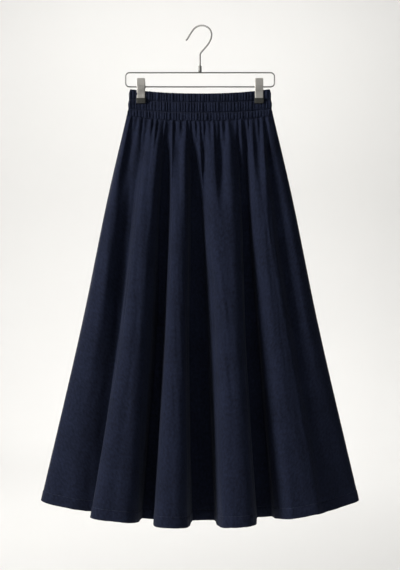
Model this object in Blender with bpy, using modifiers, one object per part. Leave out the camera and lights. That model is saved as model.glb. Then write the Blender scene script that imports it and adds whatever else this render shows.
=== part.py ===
"""A long gathered skirt, hung by two clips from a wire trouser hanger.

Metres, +Z up, with the front of the skirt towards -Y. The origin is the point inside the top of
the hook that rests on whatever carries the hanger. Lengths below are given in millimetres and
turned into metres where they are used.
"""
from math import cos, pi, radians, sin

import bmesh
import bpy
import numpy as np

MM = 0.001
FRONT = -1.0
BACK = 1.0

# Clearance between two pieces that touch
GAP = 0.3

# Cloth
CLOTH = 1.6
CUT_LENGTH_MIDDLE = 915.0
CUT_LENGTH_SIDE = 905.5
HEM_CLOTH = 3.0
HEM_DEPTH = 24.0
HEM_STEP = 1.0

# Elastic waistband, in three channels between rows of stitching.
# Columns: row, height at the middle, height at the ends, half width, cloth on a rib, cloth
# between two ribs.
BAND_ROWS = (
    ("top edge", -155.7, -144.8, 161.0, 3.6, 2.2),
    ("upper channel", -165.0, -155.5, 163.4, 5.2, 2.6),
    ("upper stitching", -175.4, -167.2, 163.2, 3.2, 1.8),
    ("middle channel", -187.0, -178.5, 165.4, 5.2, 2.6),
    ("lower stitching", -199.0, -189.9, 164.8, 3.2, 1.8),
    ("lower channel", -208.5, -197.2, 167.0, 5.2, 2.6),
    ("waist seam", -217.4, -203.8, 167.2, 3.6, 2.2),
)
BAND_RIBS = 48
BAND_RIB_UNEVENNESS = 0.35
BAND_END_ROUNDING = 5.0
BAND_INSIDE_HALF_WIDTH = 160.0
BAND_INSIDE_COLUMNS = 16
BAND_PINCH = 0.35
BAND_SLACK = 5.6

# Large folds. Each row is a line that runs down the cloth from the waist seam to the hem.
# Columns: line, its place across at the waist, at the upper and the middle level and at the hem,
# then how far it stands out from the side seams at the last three.
FOLD_LEVELS = (0.0, 0.205, 0.53, 1.0)
FRONT_FOLDS = (
    ("side seam", -168, -210, -269, -365, 0, 0, 0),
    ("left wing", -156, -191, -230, -293, 18, 32, 33),
    ("fold A, left foot", -134, -152, -184, -242, 9, 12, 22),
    ("fold A, left turn", -122, -141, -176, -243, 29, 54, 84),
    ("fold A, crest", -104, -121, -145, -188, 41, 78, 114),
    ("fold A, right turn", -82, -98, -112, -138, 31, 52, 74),
    ("fold A, right foot", -74, -88, -97, -131, 9, 12, 20),
    ("fold B, left foot", -68, -74, -84, -106, 9, 12, 20),
    ("fold B, left turn", -60, -64, -77, -102, 30, 56, 90),
    ("fold B, crest", -45, -47, -55, -61, 43, 84, 132),
    ("fold B, right turn", -29, -28, -29, -24, 32, 58, 86),
    ("fold B, right foot", -20, -19, -22, -17, 9, 12, 16),
    ("fold C, left foot", -9, 1, 10, 30, 9, 12, 14),
    ("fold C, left turn", 7, 13, 31, 42, 28, 54, 88),
    ("fold C, crest", 37, 43, 60, 78, 44, 86, 132),
    ("fold C, right turn", 79, 88, 99, 124, 34, 62, 90),
    ("fold C, right foot", 93, 98, 105, 131, 9, 12, 20),
    ("fold D, left foot", 103, 108, 129, 162, 9, 12, 18),
    ("fold D, left turn", 111, 118, 136, 170, 27, 40, 54),
    ("fold D, crest", 128, 139, 165, 204, 37, 58, 90),
    ("fold D, ridge", 146, 158, 193, 264, 32, 52, 77),
    ("hollow right of D", 154, 171, 212, 281, 14, 30, 62),
    ("right wing", 160, 191, 238, 317, 18, 30, 38),
    ("side seam", 168, 209, 268, 365, 0, 0, 0),
)
BACK_FOLDS = (
    ("side seam", -168, -210, -269, -365, 0, 0, 0),
    ("left wing", -157, -191, -232, -300, 18, 31, 44),
    ("fold E, left foot", -147, -168, -198, -248, 9, 13, 22),
    ("fold E, left turn", -138, -153, -186, -244, 28, 50, 76),
    ("fold E, crest", -119, -126, -152, -198, 40, 75, 110),
    ("fold E, right turn", -98, -100, -118, -150, 31, 52, 78),
    ("fold E, right foot", -88, -88, -106, -142, 9, 13, 22),
    ("fold F, left foot", -76, -78, -90, -112, 9, 12, 20),
    ("fold F, left turn", -66, -67, -80, -106, 30, 54, 84),
    ("fold F, crest", -44, -42, -48, -62, 43, 83, 126),
    ("fold F, right turn", -20, -16, -12, -16, 32, 57, 86),
    ("fold F, right foot", -10, -5, -1, -8, 9, 12, 18),
    ("fold G, left foot", 4, 8, 20, 28, 9, 12, 16),
    ("fold G, left turn", 13, 18, 32, 36, 29, 53, 84),
    ("fold G, crest", 38, 44, 62, 78, 44, 84, 130),
    ("fold G, right turn", 64, 72, 92, 120, 33, 58, 84),
    ("fold G, right foot", 75, 84, 104, 128, 9, 12, 20),
    ("fold H, left foot", 86, 96, 126, 160, 9, 13, 20),
    ("fold H, left turn", 96, 108, 137, 168, 27, 46, 68),
    ("fold H, crest", 118, 132, 166, 212, 38, 66, 100),
    ("fold H, right turn", 138, 156, 193, 252, 29, 48, 70),
    ("fold H, right foot", 148, 170, 208, 268, 13, 27, 42),
    ("right wing", 159, 191, 237, 316, 18, 31, 44),
    ("side seam", 168, 210, 269, 365, 0, 0, 0),
)

# Gathers at the waist seam: the place across of each ridge there, and those that run on down
FRONT_GATHERS = (
    -158, -149, -138, -126, -112, -100, -90, -79, -63, -48, -33, -24, -13, -3, 7,
    18, 30, 39, 49, 64, 82, 93, 108, 117, 130, 142, 155,
)
FRONT_LONG_GATHERS = (-158, -138, -100, -63, -33, -3, 30, 64, 93, 117, 142, 155)
BACK_GATHERS = (
    -160, -152, -141, -130, -119, -106, -95, -84, -72, -60, -47, -36, -25, -12, -1,
    11, 22, 33, 46, 58, 70, 83, 94, 107, 119, 131, 144, 157,
)
BACK_LONG_GATHERS = (-160, -130, -106, -72, -47, -12, 22, 46, 83, 107, 131, 157)
SHORT_GATHER_HEIGHT = 2.6
SHORT_GATHER_LENGTH = 95.0
LONG_GATHER_HEIGHT = 5.0
LONG_GATHER_AT_SEAM = 0.8
LONG_GATHER_FULLEST = 80.0
LONG_GATHER_LENGTH = 260.0
# Share of the panel's width beside a side seam over which the gathers grow
GATHER_SIDE_SHARE = 0.07

# Rows of points down a panel, as shares of the cut length. The gathered rows have three points
# to each gather, and the rows under them have one on each fold line and one between two lines.
GATHERED_ROWS = (0.0, 0.012, 0.03, 0.06, 0.1, 0.15, 0.2)
PLAIN_ROWS = (0.27, 0.35, 0.44, 0.53, 0.62, 0.71, 0.8, 0.89)
POINTS_PER_GATHER = (-1 / 2, -1 / 6, 1 / 6)
STEPS_DOWN = 160

# Edges of the cloth that turn more sharply than this stay sharp in the shading
SHARP_EDGE = radians(75.0)

# Wire hanger
WIRE = 3.0
FRAME_HALF_WIDTH = 171.0
FRAME_TOP = -106.3
FRAME_BOTTOM = -138.9
FRAME_CORNER = 9.0
FRAME_CORNER_STEPS = 5
HOOK_WIRE = 3.8
HOOK_TURN = radians(-33.0)
HOOK_STEPS = 30
# Centre line of the hook in its own plane: across, then height
HOOK_ROUTE = (
    (0.0, -104.4), (0.0, -84.0), (0.0, -66.0), (1.6, -61.6), (6.9, -56.6), (17.3, -47.8),
    (25.8, -38.6), (30.0, -30.6), (31.3, -23.0), (29.2, -15.0), (24.7, -8.4), (17.3, -2.8),
    (9.2, 0.7), (0.0, 1.9), (-8.4, 0.7), (-16.2, -3.0), (-26.0, -12.6), (-34.0, -22.6),
    (-38.9, -27.6),
)
FERRULE_TOP = -90.6
FERRULE_RADIUS = 3.9
FERRULE_BEVEL = 0.7

# Clips
CLIP_PLACE = 135.4
CLIP_WIDTH = 19.0
CLIP_SHEET = 1.0
# Side view of the front plate's middle, from the lever to the end in the boot: reach, height
CLIP_PROFILE = (
    (9.6, -120.6), (9.0, -127.0), (7.4, -135.0), (7.4, -143.0), (8.3, -152.0), (8.3, -175.2),
)
CLIP_EAR_HEIGHT = 7.0
CLIP_EAR_PAST_WIRE = 2.8
BOOT_WIDTH = 22.0
BOOT_INNER = 5.8
BOOT_OUTER = 10.6
BOOT_TOP = -166.2
BOOT_BOTTOM = -178.0
BOOT_ROUNDING = 0.7
SPRING_RADIUS = 2.9

# Colour, roughness and metallic value of each material
MATERIALS = {
    "navy_cloth": ((0.012, 0.014, 0.024), 0.9, 0.0),
    "steel_wire": ((0.42, 0.42, 0.41), 0.3, 1.0),
    "satin_steel": ((0.5, 0.49, 0.47), 0.42, 1.0),
    "dark_rubber": ((0.03, 0.031, 0.029), 0.7, 0.0),
}


def clear_scene():
    for thing in list(bpy.data.objects):
        bpy.data.objects.remove(thing, do_unlink=True)


def new_collection(name):
    group = bpy.data.collections.new(name)
    bpy.context.scene.collection.children.link(group)
    return group


def new_material(name):
    colour, roughness, metallic = MATERIALS[name]
    material = bpy.data.materials.new(name)
    material.use_nodes = True
    shader = material.node_tree.nodes["Principled BSDF"]
    shader.inputs["Base Color"].default_value = (*colour, 1.0)
    shader.inputs["Roughness"].default_value = roughness
    shader.inputs["Metallic"].default_value = metallic
    return material


def smooth(places, values, wanted, ends=None):
    """Values of the smooth curve through the given ones, which is flat where they turn back.

    Values may have further axes. Ends are the curve's slopes at its two ends.
    """
    places = np.asarray(places, float)
    values = np.asarray(values, float)
    wanted = np.asarray(wanted, float)
    extra = (1,) * (values.ndim - 1)
    steps = np.diff(places).reshape(-1, *extra)
    rises = np.diff(values, axis=0) / steps
    before, after = rises[:-1], rises[1:]
    same_way = before * after > 0.0
    weight_before = 2.0 * steps[1:] + steps[:-1]
    weight_after = steps[1:] + 2.0 * steps[:-1]
    blend = weight_before / np.where(same_way, before, 1.0)
    blend = blend + weight_after / np.where(same_way, after, 1.0)
    inner = np.where(same_way, (weight_before + weight_after) / np.where(same_way, blend, 1.0), 0.0)
    first, last = (rises[:1], rises[-1:]) if ends is None else ends
    slopes = np.concatenate((first, inner, last))

    at = np.clip(np.searchsorted(places, wanted, side="right") - 1, 0, len(places) - 2)
    step = steps[at]
    part = (wanted - places[at]).reshape(-1, *extra) / step
    rest = 1.0 - part
    from_first = rest * rest * ((1.0 + 2.0 * part) * values[at] + part * step * slopes[at])
    from_second = part * part * ((1.0 + 2.0 * rest) * values[at + 1] - rest * step * slopes[at + 1])
    return from_first + from_second


def fade(distance, full, end):
    """1 up to full, then smoothly down to 0 at end."""
    part = np.clip((distance - full) / (end - full), 0.0, 1.0)
    return 1.0 - part * part * (3.0 - 2.0 * part)


def band_inside(across):
    """How far the inside of the band stands off the middle: pinched by the clips, slack between."""
    slack = np.clip(1.0 - (across / CLIP_PLACE) ** 2, 0.0, 1.0)
    return BAND_PINCH + BAND_SLACK * slack ** 2


def row_height(row, across):
    """Height of a row of the band, which sags between the clips."""
    _, middle, end, half_width, _, _ = row
    return middle + (end - middle) * (across / half_width) ** 2


def cut_length(places):
    """Length of the cloth from the waist seam to the hem, longest in the middle of the panel."""
    return CUT_LENGTH_MIDDLE + (CUT_LENGTH_SIDE - CUT_LENGTH_MIDDLE) * (2.0 * places - 1.0) ** 2


class Panel:
    """The outer surface of one panel, as a function of the place in the cloth.

    A place across the cloth runs from 0 to 1 between the side seams, and a place down it is a
    share of the cut length.
    """

    def __init__(self, folds, gathers, long_gathers, side):
        table = np.array([row[1:] for row in folds], float)
        levels = len(FOLD_LEVELS)
        self.side = side
        self.across = table[:, :levels]
        self.reach = np.zeros_like(self.across)
        self.reach[:, 1:] = table[:, levels:]
        standing_out = CLOTH + SHORT_GATHER_HEIGHT + LONG_GATHER_AT_SEAM
        self.reach[1:-1, 0] = band_inside(self.across[1:-1, 0]) + standing_out
        self.reach += GAP / 2.0
        chords = np.hypot(np.diff(self.across, axis=0), np.diff(self.reach, axis=0))
        hem = chords[:, -1]
        self.places = np.concatenate(([0.0], np.cumsum(hem))) / hem.sum()
        self.speeds = chords[[0, -1]] / np.diff(self.places)[[0, -1]].reshape(-1, 1)
        self.short = self.ridge_phases(gathers)
        self.long = self.ridge_phases(long_gathers)

    def ridge_phases(self, ridges):
        """Places of the gather ridges, each with its number, and the side seams half way past."""
        fine = np.linspace(0.0, 1.0, 400)
        waist = smooth(self.places, self.across[:, 0], fine)
        ridge_places = np.interp(ridges, waist, fine)
        places = np.concatenate(([0.0], ridge_places, [1.0]))
        numbers = np.concatenate(([-0.5], np.arange(len(ridges)), [len(ridges) - 0.5]))
        return places, numbers

    def gather_columns(self):
        """Places across of the upper points: a hollow and two shoulders for each gather."""
        places, numbers = self.short
        wanted = [k + part for k in range(len(places) - 2) for part in POINTS_PER_GATHER]
        return np.interp(wanted + [numbers[-1]], numbers, places)

    def fold_columns(self):
        """Places across of the lower points: the fold lines, and half way between them."""
        between = (self.places[:-1] + self.places[1:]) / 2.0
        return np.sort(np.concatenate((self.places, between)))

    def points(self, columns, rows):
        """Points of the outer surface in millimetres, by row and column."""
        still = np.zeros((1, len(FOLD_LEVELS)))
        across = smooth(self.places, self.across, columns, ends=(still, still))
        reach = smooth(self.places, self.reach, columns, ends=(self.speeds[:1], -self.speeds[1:]))
        down = np.union1d(np.linspace(0.0, 1.0, STEPS_DOWN), rows)
        across = smooth(FOLD_LEVELS, across.T, down)
        reach = smooth(FOLD_LEVELS, reach.T, down) + self.gather_height(columns, down)
        lengths = np.diff(down).reshape(-1, 1) * cut_length(columns)
        moved = np.diff(across, axis=0) ** 2 + np.diff(reach, axis=0) ** 2
        drops = np.sqrt(np.maximum(lengths ** 2 - moved, 0.0))
        top = row_height(BAND_ROWS[-1], across[:1]) - GAP
        height = np.concatenate((top, top - np.cumsum(drops, axis=0)))
        kept = np.searchsorted(down, rows)
        return np.stack((across, self.side * reach, height), axis=-1)[kept]

    def gather_height(self, columns, down):
        """The gathers' ridges and hollows, which fade into the large folds below the waist."""
        distance = np.reshape(down, (-1, 1)) * cut_length(columns)
        sides = np.minimum(1.0, np.minimum(columns, 1.0 - columns) / GATHER_SIDE_SHARE)
        short_wave = np.cos(2.0 * pi * np.interp(columns, *self.short))
        long_wave = np.cos(2.0 * pi * np.interp(columns, *self.long))
        short = SHORT_GATHER_HEIGHT * fade(distance, 0.0, SHORT_GATHER_LENGTH)
        growth = 1.0 - fade(distance, 0.0, LONG_GATHER_FULLEST)
        long = LONG_GATHER_AT_SEAM + (LONG_GATHER_HEIGHT - LONG_GATHER_AT_SEAM) * growth
        long = long * fade(distance, LONG_GATHER_FULLEST, LONG_GATHER_LENGTH)
        return sides * (short * short_wave + long * long_wave)


def outward_normals(points, side):
    """Normals of a grid of points, level along its top and straight sideways at its sides."""
    down = np.gradient(points, axis=0)
    along = np.gradient(points, axis=1)
    normals = np.cross(along, down) * side
    normals[0, :, 2] = 0.0
    normals[:, (0, -1), 1:] = 0.0
    return normals / np.linalg.norm(normals, axis=2, keepdims=True)


def strip(faces, first, second):
    """Faces between two rows, each of which is its places along and its vertex numbers."""
    first_places, first_row = first
    second_places, second_row = second
    if len(first_row) == len(second_row):
        for k in range(len(first_row) - 1):
            faces.append((first_row[k], second_row[k], second_row[k + 1], first_row[k + 1]))
        return
    a, b = 0, 0
    while a < len(first_row) - 1 or b < len(second_row) - 1:
        first_ended = a == len(first_row) - 1
        second_ended = b == len(second_row) - 1
        if second_ended or (not first_ended and first_places[a + 1] <= second_places[b + 1]):
            faces.append((first_row[a], second_row[b], first_row[a + 1]))
            a += 1
        else:
            faces.append((first_row[a], second_row[b], second_row[b + 1]))
            b += 1


def wall(name, outer_rows, inner_rows, material, group):
    """A closed wall between two sheets, each a list of rows of places along and points."""
    vertices = []

    def numbered(rows):
        numbers = []
        for places, points in rows:
            start = len(vertices)
            vertices.extend(tuple(point) for point in np.asarray(points) * MM)
            numbers.append((places, list(range(start, len(vertices)))))
        return numbers

    def side_edge(rows, end):
        return np.linspace(0.0, 1.0, len(rows)), [numbers[end] for _, numbers in rows]

    outer, inner = numbered(outer_rows), numbered(inner_rows)
    faces = []
    for sheet in (outer, inner):
        for upper, lower in zip(sheet, sheet[1:]):
            strip(faces, upper, lower)
    strip(faces, outer[0], inner[0])
    strip(faces, outer[-1], inner[-1])
    for end in (0, -1):
        strip(faces, side_edge(outer, end), side_edge(inner, end))

    mesh = bpy.data.meshes.new(name)
    mesh.from_pydata(vertices, [], faces)
    shape = bmesh.new()
    shape.from_mesh(mesh)
    bmesh.ops.recalc_face_normals(shape, faces=shape.faces)
    shape.to_mesh(mesh)
    shape.free()
    mesh.shade_smooth()
    mesh.set_sharp_from_angle(angle=SHARP_EDGE)
    return place(name, mesh, material, group)


def place(name, data, material, group):
    thing = bpy.data.objects.new(name, data)
    data.materials.append(material)
    group.objects.link(thing)
    return thing


def skirt_panel(name, panel, material, group):
    """One panel with its hem folded up inside as a second thickness of cloth."""
    outer, inner = [], []

    def add_rows(columns, rows, thickness):
        points = panel.points(columns, np.array(rows))
        inside = points - np.reshape(thickness, (-1, 1, 1)) * outward_normals(points, panel.side)
        outer.extend((columns, row) for row in points)
        inner.extend((columns, row) for row in inside)

    hem_top = 1.0 - HEM_DEPTH / CUT_LENGTH_MIDDLE
    plain_rows = PLAIN_ROWS + (hem_top,)
    hem_rows = (hem_top + HEM_STEP / CUT_LENGTH_MIDDLE, 1.0)
    plain_cloth = [CLOTH] * len(plain_rows)
    add_rows(panel.gather_columns(), GATHERED_ROWS, [CLOTH] * len(GATHERED_ROWS))
    add_rows(panel.fold_columns(), plain_rows + hem_rows, plain_cloth + [HEM_CLOTH] * len(hem_rows))
    return wall(name, outer, inner, material, group)


def waistband(name, side, seed, material, group):
    """Half of the band: shirred ribs outside, over a plain inside."""
    chance = np.random.default_rng(seed)
    count = 3 * BAND_RIBS
    along = np.linspace(-1.0, 1.0, count + 1)
    on_rib = np.arange(count + 1) % 3 > 0
    outer = []
    for row in BAND_ROWS:
        _, _, _, half_width, rib, hollow = row
        uneven = 1.0 - BAND_RIB_UNEVENNESS * chance.random(BAND_RIBS + 1)
        raised = np.where(on_rib, (rib - hollow) * uneven[np.arange(count + 1) // 3], 0.0)
        across = half_width * along
        turn = np.clip((half_width - np.abs(across)) / BAND_END_ROUNDING, 0.0, 1.0)
        rounding = np.sqrt(1.0 - (1.0 - turn) ** 2)
        reach = GAP / 2.0 + rounding * (band_inside(across) + hollow + raised)
        outer.append((along, np.stack((across, side * reach, row_height(row, across)), axis=-1)))
    inner = []
    across = np.linspace(-BAND_INSIDE_HALF_WIDTH, BAND_INSIDE_HALF_WIDTH, BAND_INSIDE_COLUMNS + 1)
    for row in (BAND_ROWS[0], BAND_ROWS[-1]):
        reach = GAP / 2.0 + band_inside(across)
        points = np.stack((across, side * reach, row_height(row, across)), axis=-1)
        inner.append((across / BAND_INSIDE_HALF_WIDTH, points))
    return wall(name, outer, inner, material, group)


def wire(name, route, thickness, closed, material, group):
    """A round wire along a route of points in millimetres."""
    curve = bpy.data.curves.new(name, "CURVE")
    curve.dimensions = "3D"
    curve.bevel_depth = thickness / 2.0 * MM
    curve.bevel_resolution = 2
    curve.use_fill_caps = True
    spline = curve.splines.new("POLY")
    spline.points.add(len(route) - 1)
    for point, at in zip(spline.points, route):
        point.co = (at[0] * MM, at[1] * MM, at[2] * MM, 1.0)
    spline.use_cyclic_u = closed
    return place(name, curve, material, group)


def hanger_frame(material, group):
    """The long loop of wire that carries the clips."""
    corners = (
        (FRAME_HALF_WIDTH, FRAME_TOP, 0.0),
        (-FRAME_HALF_WIDTH, FRAME_TOP, 90.0),
        (-FRAME_HALF_WIDTH, FRAME_BOTTOM, 180.0),
        (FRAME_HALF_WIDTH, FRAME_BOTTOM, 270.0),
    )
    route = []
    for across, height, start in corners:
        centre_x = across - np.sign(across) * FRAME_CORNER
        centre_z = height - FRAME_CORNER if height == FRAME_TOP else height + FRAME_CORNER
        for angle in np.linspace(radians(start), radians(start + 90.0), FRAME_CORNER_STEPS + 1):
            route.append((centre_x + FRAME_CORNER * cos(angle), 0.0, centre_z + FRAME_CORNER * sin(angle)))
    return wire("hanger_frame", route, WIRE, True, material, group)


def hanger_hook(material, group):
    """The hook, turned in its ferrule so that its open side looks back and to the left."""
    route = np.array(HOOK_ROUTE)
    run = np.concatenate(([0.0], np.cumsum(np.hypot(*np.diff(route, axis=0).T))))
    line = smooth(run, route, np.linspace(0.0, run[-1], HOOK_STEPS))
    turned = [(a * cos(HOOK_TURN), a * sin(HOOK_TURN), height) for a, height in line]
    return wire("hanger_hook", turned, HOOK_WIRE, False, material, group)


def turned_ring(name, profile, steps, material, group):
    """A ring turned about Z from a closed profile of radius and height."""
    mesh = bpy.data.meshes.new(name)
    points = [(radius * MM, 0.0, height * MM) for radius, height in profile]
    edges = [(k, (k + 1) % len(points)) for k in range(len(points))]
    mesh.from_pydata(points, edges, [])
    ring = place(name, mesh, material, group)
    screw = ring.modifiers.new("turn", "SCREW")
    screw.steps = steps
    screw.render_steps = steps
    screw.use_merge_vertices = True
    screw.merge_threshold = 0.00001
    screw.use_smooth_shade = True
    return ring


def hanger_ferrule(material, group):
    bottom = FRAME_TOP + WIRE / 2.0 + GAP
    bore = HOOK_WIRE / 2.0 + GAP
    profile = (
        (bore, FERRULE_TOP),
        (FERRULE_RADIUS - FERRULE_BEVEL, FERRULE_TOP),
        (FERRULE_RADIUS, FERRULE_TOP - FERRULE_BEVEL),
        (FERRULE_RADIUS, bottom),
        (bore, bottom),
    )
    return turned_ring("hanger_ferrule", profile, 16, material, group)


def clip_spring(name, across, material, group):
    """The spring's sleeve on the lower wire, between the ears of the two plates."""
    half = CLIP_WIDTH / 2.0 - 2.0 * (CLIP_SHEET + GAP)
    bore = WIRE / 2.0 + GAP
    profile = ((bore, half), (SPRING_RADIUS, half), (SPRING_RADIUS, -half), (bore, -half))
    sleeve = turned_ring(name, profile, 12, material, group)
    sleeve.rotation_euler = (0.0, pi / 2.0, 0.0)
    sleeve.location = (across * MM, 0.0, FRAME_BOTTOM * MM)
    return sleeve


def block(name, low, high, group, material=None):
    """A box between two corners in millimetres."""
    low, high = np.array(low), np.array(high)
    shape = bmesh.new()
    bmesh.ops.create_cube(shape, size=1.0)
    bmesh.ops.scale(shape, vec=(high - low) * MM, verts=shape.verts)
    bmesh.ops.translate(shape, vec=(high + low) / 2.0 * MM, verts=shape.verts)
    mesh = bpy.data.meshes.new(name)
    shape.to_mesh(mesh)
    shape.free()
    thing = bpy.data.objects.new(name, mesh)
    group.objects.link(thing)
    if material is None:
        thing.hide_render = True
        thing.display_type = "WIRE"
    else:
        mesh.materials.append(material)
    return thing


def combine(thing, other, operation):
    change = thing.modifiers.new(operation.lower(), "BOOLEAN")
    change.operation = operation
    change.object = other
    change.solver = "EXACT"


def clip_plate(name, across, side, ear_inset, material, group, cutters):
    """A sprung plate with two ears that turn on the lower wire."""
    half = CLIP_WIDTH / 2.0
    points = [(x * half + across, side * reach, height) for reach, height in CLIP_PROFILE for x in (-1, 1)]
    faces = [(k, k + 1, k + 3, k + 2) for k in range(0, len(points) - 2, 2)]
    mesh = bpy.data.meshes.new(name)
    mesh.from_pydata([tuple(np.array(point) * MM) for point in points], [], faces)
    plate = place(name, mesh, material, group)
    sheet = plate.modifiers.new("sheet", "SOLIDIFY")
    sheet.thickness = CLIP_SHEET * MM
    sheet.offset = 0.0
    near = side * (CLIP_PROFILE[2][0])
    far = -side * CLIP_EAR_PAST_WIRE
    for edge in (-1, 1):
        outside = across + edge * (half - ear_inset)
        inside = outside - edge * CLIP_SHEET
        low = (min(inside, outside), min(near, far), FRAME_BOTTOM - CLIP_EAR_HEIGHT / 2.0)
        high = (max(inside, outside), max(near, far), FRAME_BOTTOM + CLIP_EAR_HEIGHT / 2.0)
        ear = block(f"{name}_ear_{'left' if edge < 0 else 'right'}", low, high, cutters)
        combine(plate, ear, "UNION")
    combine(plate, cutters.objects["wire_clearance"], "DIFFERENCE")
    return plate


def wire_clearance(cutters):
    """A rod round the lower wire, which opens the ears' holes."""
    shape = bmesh.new()
    bmesh.ops.create_cone(
        shape, cap_ends=True, segments=16, radius1=(WIRE / 2.0 + GAP) * MM,
        radius2=(WIRE / 2.0 + GAP) * MM, depth=2.0 * FRAME_HALF_WIDTH * MM)
    mesh = bpy.data.meshes.new("wire_clearance")
    shape.to_mesh(mesh)
    shape.free()
    rod = bpy.data.objects.new("wire_clearance", mesh)
    rod.rotation_euler = (0.0, pi / 2.0, 0.0)
    rod.location = (0.0, 0.0, FRAME_BOTTOM * MM)
    rod.hide_render = True
    rod.display_type = "WIRE"
    cutters.objects.link(rod)


def clip_boot(name, across, side, material, group, cutters):
    """The rubber boot on the end of a plate, with a pocket that the plate fills."""
    half = BOOT_WIDTH / 2.0
    faces = sorted((side * BOOT_INNER, side * BOOT_OUTER))
    boot = block(
        name, (across - half, faces[0], BOOT_BOTTOM), (across + half, faces[1], BOOT_TOP), group, material)
    edges = boot.modifiers.new("edges", "BEVEL")
    edges.width = BOOT_ROUNDING * MM
    edges.segments = 1
    reach, end = CLIP_PROFILE[-1]
    pocket_half = CLIP_WIDTH / 2.0 + GAP
    pocket_wall = CLIP_SHEET / 2.0 + GAP
    pocket = block(
        f"{name}_pocket",
        (across - pocket_half, side * reach - pocket_wall, end - GAP),
        (across + pocket_half, side * reach + pocket_wall, BOOT_TOP + 1.0), cutters)
    combine(boot, pocket, "DIFFERENCE")
    return boot


def clip(name, across, steel, rubber, group, cutters):
    clip_plate(f"{name}_plate_front", across, FRONT, 0.0, steel, group, cutters)
    clip_plate(f"{name}_plate_back", across, BACK, CLIP_SHEET + GAP, steel, group, cutters)
    clip_boot(f"{name}_boot_front", across, FRONT, rubber, group, cutters)
    clip_boot(f"{name}_boot_back", across, BACK, rubber, group, cutters)
    clip_spring(f"{name}_spring", across, steel, group)


def main():
    clear_scene()
    group = new_collection("maxi_skirt_on_hanger")
    cutters = new_collection("cutters")
    cloth, wire_steel, satin, rubber = (new_material(name) for name in MATERIALS)

    front = Panel(FRONT_FOLDS, FRONT_GATHERS, FRONT_LONG_GATHERS, FRONT)
    back = Panel(BACK_FOLDS, BACK_GATHERS, BACK_LONG_GATHERS, BACK)
    skirt_panel("front_panel", front, cloth, group)
    skirt_panel("back_panel", back, cloth, group)
    waistband("waistband_front", FRONT, 11, cloth, group)
    waistband("waistband_back", BACK, 12, cloth, group)

    hanger_frame(wire_steel, group)
    hanger_hook(wire_steel, group)
    hanger_ferrule(wire_steel, group)
    wire_clearance(cutters)
    clip("clip_left", -CLIP_PLACE, satin, rubber, group, cutters)
    clip("clip_right", CLIP_PLACE, satin, rubber, group, cutters)


main()
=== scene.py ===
"""The looks of a long gathered skirt that hangs by two clips from a wire trouser hanger.

The shapes repeat the tables of the solids, in millimetres, and add the fine form of the cloth.
"""
from math import cos, pi, radians, sin

import bpy
import numpy as np
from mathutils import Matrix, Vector


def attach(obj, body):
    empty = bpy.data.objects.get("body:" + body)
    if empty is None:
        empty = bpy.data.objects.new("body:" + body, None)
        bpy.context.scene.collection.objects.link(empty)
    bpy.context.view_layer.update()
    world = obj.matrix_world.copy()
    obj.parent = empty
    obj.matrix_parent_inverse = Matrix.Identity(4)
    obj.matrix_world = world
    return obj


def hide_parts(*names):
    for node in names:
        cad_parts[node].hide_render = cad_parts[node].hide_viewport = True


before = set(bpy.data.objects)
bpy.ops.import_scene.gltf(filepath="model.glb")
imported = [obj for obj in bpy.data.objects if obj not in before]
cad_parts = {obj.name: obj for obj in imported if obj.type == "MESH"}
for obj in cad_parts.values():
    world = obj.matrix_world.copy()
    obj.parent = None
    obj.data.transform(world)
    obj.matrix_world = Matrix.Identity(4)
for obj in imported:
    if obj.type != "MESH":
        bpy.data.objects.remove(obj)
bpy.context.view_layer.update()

MM = 0.001
FRONT = -1.0
BACK = 1.0
FRONT_SEED = 21
BACK_SEED = 31
BAND_SEED = 5

# Cloth: the shell's thickness here and in the solids, and the cut
CLOTH = 1.3
SOLID_CLOTH = 1.6
CUT_LENGTH_MIDDLE = 915.0
CUT_LENGTH_SIDE = 905.5
HEM_DEPTH = 24.0
HEM_CLOTH = 2.4
HEM_LINE = 1300.0
HEM_GROOVE = 0.5
HEM_GROOVE_WIDTH = 1.6
HEM_PROUD = 0.6
HEM_PUCKER = 0.75
HEM_PUCKER_LENGTH = 13.0
HEM_PUCKER_REACH = 13.0
HEM_PUCKER_BELOW = 4.0
SEAM_TUCK = 2.0
SEAM_PINCH = 0.6
SEAM_PINCH_LENGTH = 8.0

# Elastic waistband, in three channels between rows of stitching.
# Columns: row, height at the middle, height at the ends, half width, cloth between two ribs.
BAND_ROWS = (
    ("top edge", -155.7, -144.8, 161.0, 2.2),
    ("upper channel", -165.0, -155.5, 163.4, 2.6),
    ("upper stitching", -175.4, -167.2, 163.2, 1.8),
    ("middle channel", -187.0, -178.5, 165.4, 2.6),
    ("lower stitching", -199.0, -189.9, 164.8, 1.8),
    ("lower channel", -208.5, -197.2, 167.0, 2.6),
    ("waist seam", -217.4, -203.8, 167.2, 2.2),
)
BAND_RIBS = 48
BAND_END_ROUNDING = 5.0
BAND_PINCH = 0.35
BAND_SLACK = 5.6
BAND_WALL = 3.0
BAND_THINNEST = 0.7
BAND_UNDERSIDE = 0.9
RIM = 1.3
RIM_SHARE = 0.12
# Ribs: height, share of it at a row of stitches, their span, and how unlike each other they are
RIB_SCALE = 3.6
RIB_AT_STITCHES = 0.35
RIB_SPAN = 340.0
RIB_SHIFT = 2.2
RIB_LEAN = 1.4
RIB_HEIGHTS = (0.35, 1.2)
CHANNEL_PUFF = 1.7
STITCH_GROOVE = 3.0
STITCH_GROOVE_SHARE = 0.022
CLIP_PLACE = 135.4

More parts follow.
